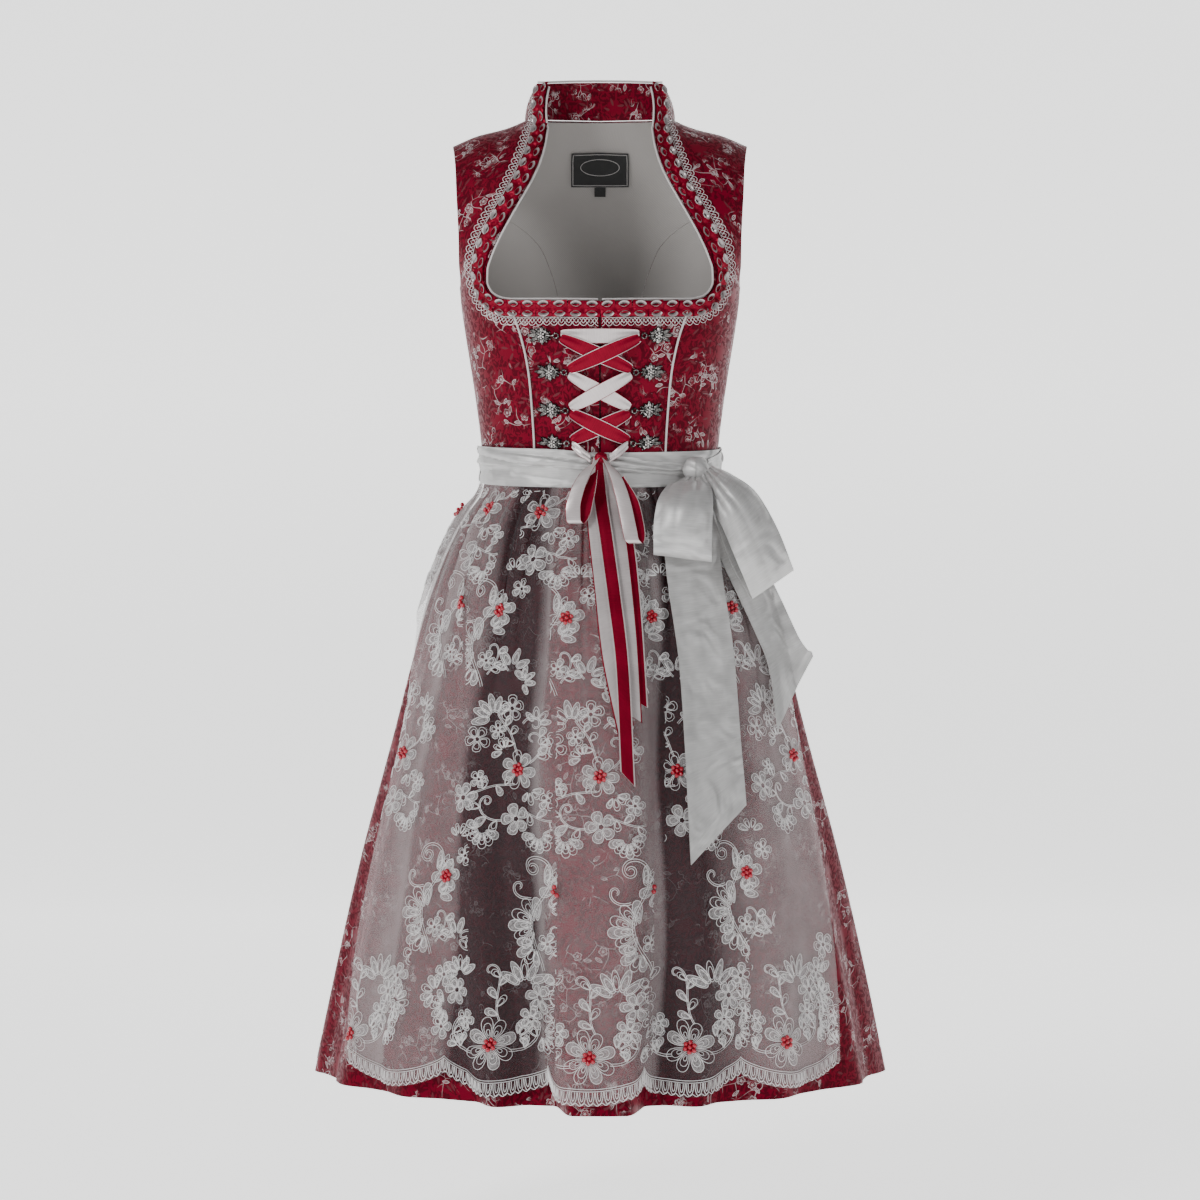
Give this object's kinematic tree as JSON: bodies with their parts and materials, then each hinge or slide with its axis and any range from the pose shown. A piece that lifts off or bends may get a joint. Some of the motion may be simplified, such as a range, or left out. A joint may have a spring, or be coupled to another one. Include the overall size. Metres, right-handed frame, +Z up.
{
  "type": "dirndl dress with apron",
  "caption": "Sleeveless dress with a stand-up collar, ribbon-laced bodice, gathered skirt and lace apron tied in a bow.",
  "frame": {"origin": "midway between the shoulders, at the height of the shoulder seams, where a hanger or a wearer's shoulders carry the dress", "axes": "+Z up, -Y the way the front faces, +X the wearer's left"},
  "size_m": [0.6009, 0.5746, 1.0471],
  "materials": {
    "jacquard": "wine-red jacquard with a woven floral figure",
    "lining": "plain grey lining",
    "piping": "silver-grey satin bias cord",
    "ribbon_red": "red satin ribbon",
    "ribbon_silver": "silver-grey satin ribbon",
    "lace": "picot lace edging",
    "tulle": "sheer tulle with corded embroidery",
    "satin": "dull grey satin",
    "label": "black woven label",
    "metal": "antique silver casting",
    "zip": "dark zip tape"
  },
  "bodies": {
    "root": {"apron_band": "satin", "apron_bow_knot": "satin", "apron_bow_loop_front": "satin", "apron_bow_loop_side": "satin", "apron_end_long": "satin", "apron_end_short": "satin", "apron_lace": "tulle", "apron_tie_back": "satin", "apron_tie_front": "satin", "apron_tie_side": "satin", "bodice_back_centre": "jacquard", "bodice_back_side_left": "jacquard", "bodice_back_side_right": "jacquard", "bodice_front_centre_left": "jacquard", "bodice_front_centre_right": "jacquard", "bodice_front_side_left": "jacquard", "bodice_front_side_right": "jacquard", "collar": "jacquard", "front_zip": "zip", "lace_edging_left": "lace", "lace_edging_right": "lace", "lacing_bar_top": "ribbon_silver", "lacing_cross_1_over": "ribbon_red", "lacing_cross_1_under": "ribbon_red", "lacing_cross_2_over": "ribbon_silver", "lacing_cross_2_under": "ribbon_silver", "lacing_cross_3_over": "ribbon_red", "lacing_cross_3_under": "ribbon_red", "lacing_end_red_left": "ribbon_red", "lacing_end_red_right": "ribbon_red", "lacing_end_silver_left": "ribbon_silver", "lacing_end_silver_right": "ribbon_silver", "lacing_hook_1_left": "metal", "lacing_hook_1_right": "metal", "lacing_hook_2_left": "metal", "lacing_hook_2_right": "metal", "lacing_hook_3_left": "metal", "lacing_hook_3_right": "metal", "lacing_hook_4_left": "metal", "lacing_hook_4_right": "metal", "lacing_knot": "ribbon_red", "lacing_loop_left": "ribbon_silver", "lacing_loop_right": "ribbon_silver", "lacing_run_left": "ribbon_silver", "lacing_run_right": "ribbon_silver", "lining_back_centre": "lining", "lining_back_side_left": "lining", "lining_back_side_right": "lining", "neck_label": "label", "piping_collar": "piping", "piping_neckline_left": "piping", "piping_neckline_right": "piping", "piping_princess_left": "piping", "piping_princess_right": "piping", "size_tag": "label", "skirt_back": "jacquard", "skirt_front": "jacquard", "trim_ruched_left": "ribbon_red", "trim_ruched_right": "ribbon_red"}
  },
  "joints": []
}
